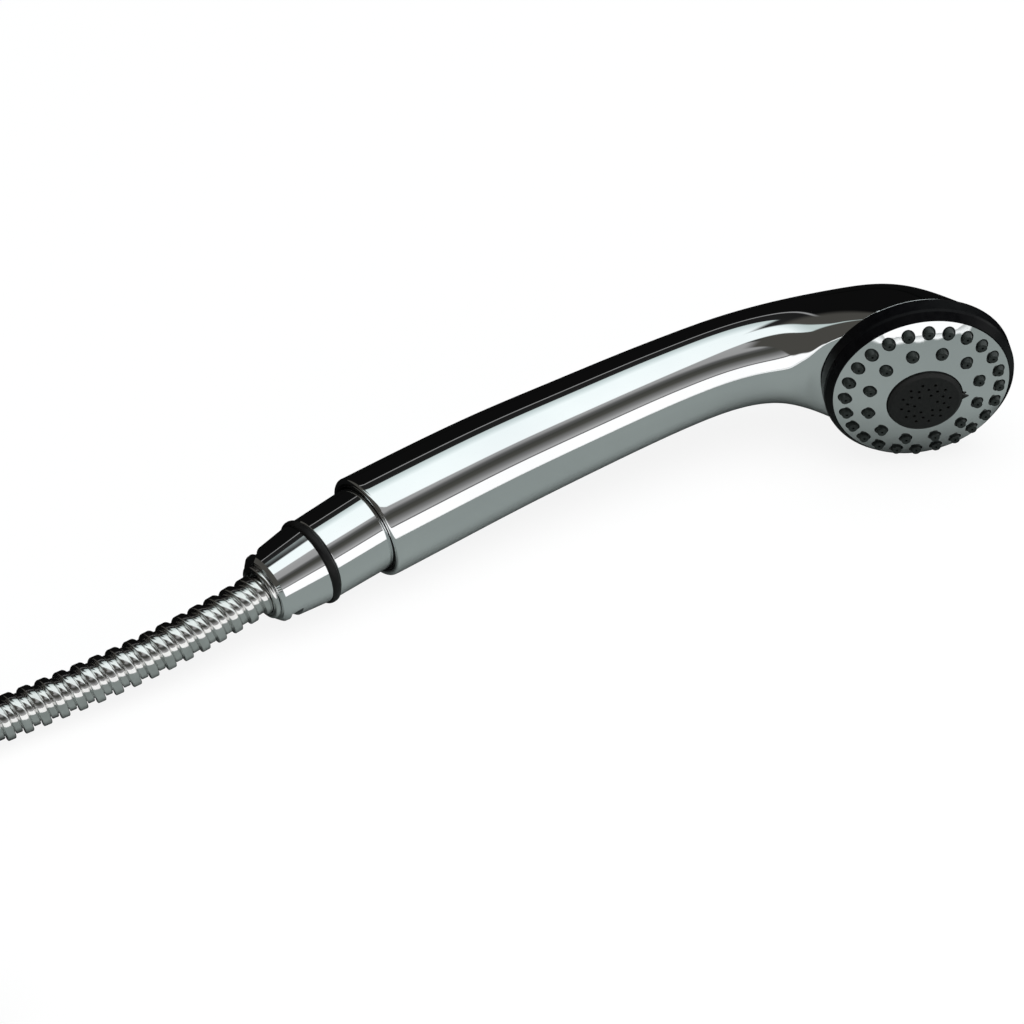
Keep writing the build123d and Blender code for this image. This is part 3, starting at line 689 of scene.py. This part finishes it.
# The parts of the surroundings, as ramps of a direction's height or of its place in the plane overhead.
BEHIND_RAMP = [(0.0, 0.004), (0.232, 0.004), (0.236, 0.32), (0.242, 0.32), (0.247, 0.012), (0.5, 0.02)]
FRONT_RAMP = [
    (0.0, 1.0), (0.385, 1.0), (0.395, 0.1), (0.42, 0.12), (0.435, 0.4), (0.55, 0.2),
    (0.67, (0.062, 0.062, 0.055)), (0.75, (0.048, 0.049, 0.044)), (0.81, 0.1), (0.85, 0.3), (1.0, 0.34),
]
SOFTBOX_RAMP = [
    (0.37, (0.9, 0.96, 0.96)), (0.62, (0.88, 0.95, 0.95)), (0.72, (0.62, 0.7, 0.7)), (0.8, (0.5, 0.58, 0.57)),
]
LEFT_COLOUR = (0.06, 0.058, 0.052, 1)
TONGUE_SLANT = 0.8
WORLD_STRENGTH = 1.12


def studio_surroundings():
    """What the chrome mirrors: a softbox overhead, a white wall low in front, and darkness behind."""
    world = bpy.data.worlds.new("studio")
    bpy.context.scene.world = world
    world.use_nodes = True
    tree = Nodes(world.node_tree)
    coordinates = tree.add("ShaderNodeTexCoord").outputs["Generated"]
    direction = tree.add("ShaderNodeSeparateXYZ", {"Vector": coordinates})
    x, y, z = (direction.outputs[axis] for axis in "XYZ")
    # A direction's place in the plane one metre overhead.
    height = tree.math("MAXIMUM", z, 0.001)
    forward = tree.math("DIVIDE", y, height)
    rightward = tree.math("DIVIDE", x, height)
    # Behind the object: darkness, with a thin bright line before the softbox.
    lift = tree.math("DIVIDE", tree.math("ARCTAN2", z, y), math.pi)
    behind = tree.ramp(lift, BEHIND_RAMP)
    # In front: a low white wall, a dark line, and a gradient up to the softbox.
    front = tree.ramp(z, FRONT_RAMP)
    before = tree.step(tree.math("MULTIPLY_ADD", height, -0.2, tree.math("MULTIPLY", y, -1)), 0.0, 0.06)
    surroundings = tree.mix(before, behind, front)
    # The wall doesn't reach round to the left, which is a dark brown grey.
    left = tree.all_of(tree.step_down(x, -0.2, -0.02), tree.step(y, -0.46, -0.4))
    surroundings = tree.mix(left, surroundings, LEFT_COLOUR)
    # Overhead: the softbox, a panel with a narrow tongue that runs on to the left and away.
    near_and_far = tree.all_of(tree.step(forward, -0.27, -0.235), tree.step_down(forward, 0.585, 0.61))
    panel = tree.all_of(near_and_far, tree.step(rightward, 0.05, 0.15))
    slant = tree.math("MULTIPLY_ADD", rightward, TONGUE_SLANT, forward)
    strip = tree.all_of(tree.step(slant, -0.25, -0.2), tree.step_down(slant, 0.22, 0.32))
    tongue = tree.all_of(strip, tree.step(rightward, -0.95, -0.85))
    softbox = tree.ramp(tree.math("MULTIPLY_ADD", forward, 0.5, 0.5), SOFTBOX_RAMP)
    bright_zone_mix = tree.mix(tree.math("MAXIMUM", panel, tongue), surroundings, softbox)
    background = tree.add("ShaderNodeBackground", {"Color": bright_zone_mix, "Strength": WORLD_STRENGTH})
    tree.add("ShaderNodeOutputWorld", {"Surface": background.outputs[0]})


LIGHT_DIAMETER = 2.4
LIGHT_POWER = 38
LIGHT_PLACE = (0.1, -0.2, 2.0)


def overhead_light():
    """A wide soft light for the matt parts and the floor's own shading, which isn't mirrored."""
    data = bpy.data.lights.new("overhead", "AREA")
    data.shape = "DISK"
    data.size = LIGHT_DIAMETER
    data.energy = LIGHT_POWER
    light = bpy.data.objects.new("overhead", data)
    light.location = LIGHT_PLACE
    light.visible_glossy = False
    bpy.context.scene.collection.objects.link(light)


CAMERA_ELEVATION = math.radians(42.56)
CAMERA_HEADING = Vector((0.63, 0.777, 0)).normalized()
CAMERA_DISTANCE = 1.1108
LOOK_AT = RIM_CENTRE + Vector((35.1, -28.5, 5.85)) * MM
SENSOR_WIDTH = 36.0
FOCAL_LENGTH = 123.05


def studio_camera():
    """A long lens from above the hose's side, looking along the handle towards the head."""
    data = bpy.data.cameras.new("camera")
    data.sensor_width = SENSOR_WIDTH
    data.lens = FOCAL_LENGTH
    camera = bpy.data.objects.new("camera", data)
    view = CAMERA_HEADING * math.cos(CAMERA_ELEVATION) - Vector((0, 0, math.sin(CAMERA_ELEVATION)))
    camera.location = LOOK_AT - view * CAMERA_DISTANCE
    camera.rotation_euler = view.to_track_quat("-Z", "Y").to_euler()
    bpy.context.scene.collection.objects.link(camera)
    bpy.context.scene.camera = camera


studio_floor()
studio_surroundings()
overhead_light()
studio_camera()
bpy.context.scene.view_settings.view_transform = "Standard"
